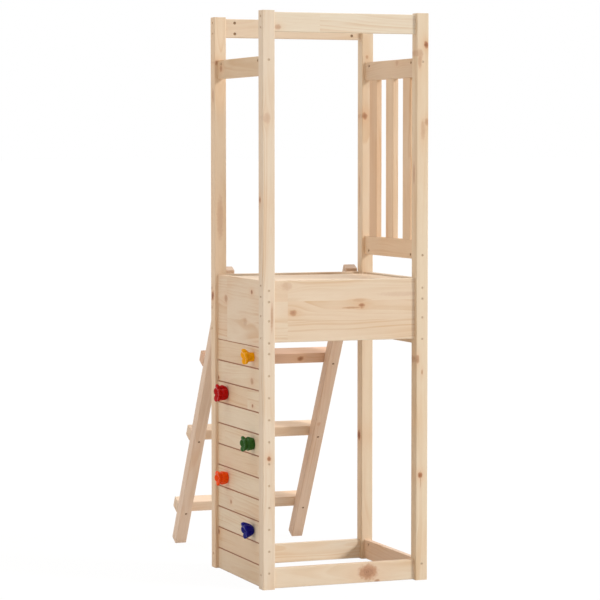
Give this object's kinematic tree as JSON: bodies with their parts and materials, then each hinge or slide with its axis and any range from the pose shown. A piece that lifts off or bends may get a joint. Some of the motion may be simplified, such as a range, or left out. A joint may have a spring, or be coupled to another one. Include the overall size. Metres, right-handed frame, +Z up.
{
  "type": "wooden climbing frame",
  "caption": "Tall pine play tower with a boarded deck, a climbing wall with coloured plastic holds, a slatted guard and a leaning ladder.",
  "frame": {"origin": "on the ground under the middle of the whole frame's box", "axes": "+X to the right seen from the open front, +Y to the back where the ladder is, +Z up"},
  "size_m": [0.6306, 1.116, 1.935],
  "materials": {
    "pine": "planed, unvarnished",
    "steel": "zinc plated",
    "hold_yellow": "moulded",
    "hold_red": "moulded",
    "hold_green": "moulded",
    "hold_orange": "moulded",
    "hold_blue": "moulded"
  },
  "bodies": {
    "root": {"barrel_nuts": "steel", "base_rail_back": "pine", "base_rail_front": "pine", "base_rail_right": "pine", "bearer_screws": "steel", "floor_bearer_left": "pine", "floor_bearer_right": "pine", "floor_board_1": "pine", "floor_board_2": "pine", "floor_board_3": "pine", "floor_board_4": "pine", "floor_board_5": "pine", "floor_board_6": "pine", "floor_screws": "steel", "guard_slat_1": "pine", "guard_slat_2": "pine", "guard_slat_3": "pine", "hold_blue": "hold_blue", "hold_bolts": "steel", "hold_green": "hold_green", "hold_nuts": "steel", "hold_orange": "hold_orange", "hold_red": "hold_red", "hold_yellow": "hold_yellow", "ladder_head_screws": "steel", "ladder_rung_1": "pine", "ladder_rung_2": "pine", "ladder_rung_3": "pine", "ladder_stringer_left": "pine", "ladder_stringer_right": "pine", "lower_rail_right": "pine", "panel_back": "pine", "panel_front": "pine", "panel_left": "pine", "panel_right": "pine", "panel_screws": "steel", "post_back_left": "pine", "post_back_right": "pine", "post_front_left": "pine", "post_front_right": "pine", "rail_bolts": "steel", "rung_screws": "steel", "slat_dowels": "pine", "top_rail_back": "pine", "top_rail_front": "pine", "upper_rail_left": "pine", "upper_rail_right": "pine", "wall_board_1": "pine", "wall_board_10": "pine", "wall_board_11": "pine", "wall_board_2": "pine", "wall_board_3": "pine", "wall_board_4": "pine", "wall_board_5": "pine", "wall_board_6": "pine", "wall_board_7": "pine", "wall_board_8": "pine", "wall_board_9": "pine", "wall_screws": "steel"}
  },
  "joints": []
}
